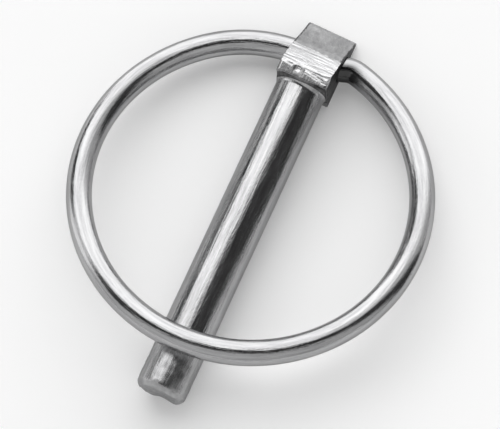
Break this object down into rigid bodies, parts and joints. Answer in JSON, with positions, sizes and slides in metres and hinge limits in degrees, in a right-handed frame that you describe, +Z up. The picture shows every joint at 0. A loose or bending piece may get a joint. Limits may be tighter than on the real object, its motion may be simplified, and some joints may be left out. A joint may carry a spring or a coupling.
{
  "type": "wire lock pin",
  "caption": "Linch pin with a round shank, a square sheared head and a spring wire ring that swings over and closes on the shank.",
  "frame": {"origin": "on the floor under the middle of the whole pin as it lies, ring closed", "axes": "-Y from the head towards the tip, X along the ring's hinge, +Z up, to the side of the ring"},
  "size_m": [0.0568, 0.0646, 0.0123],
  "materials": {
    "plated_steel": "bright plated, worn",
    "plated_spring_wire": "bright plated, smooth"
  },
  "bodies": {
    "pin_body": {"pin": "plated_steel"},
    "ring_body": {"ring": "plated_spring_wire"}
  },
  "joints": [
    {"name": "ring_hinge", "type": "hinge", "parent": "pin_body", "child": "ring_body", "pos_m": [0, 0.02662, 0.00273], "axis": [-1, 0, 0], "range_deg": [0, 180]}
  ]
}
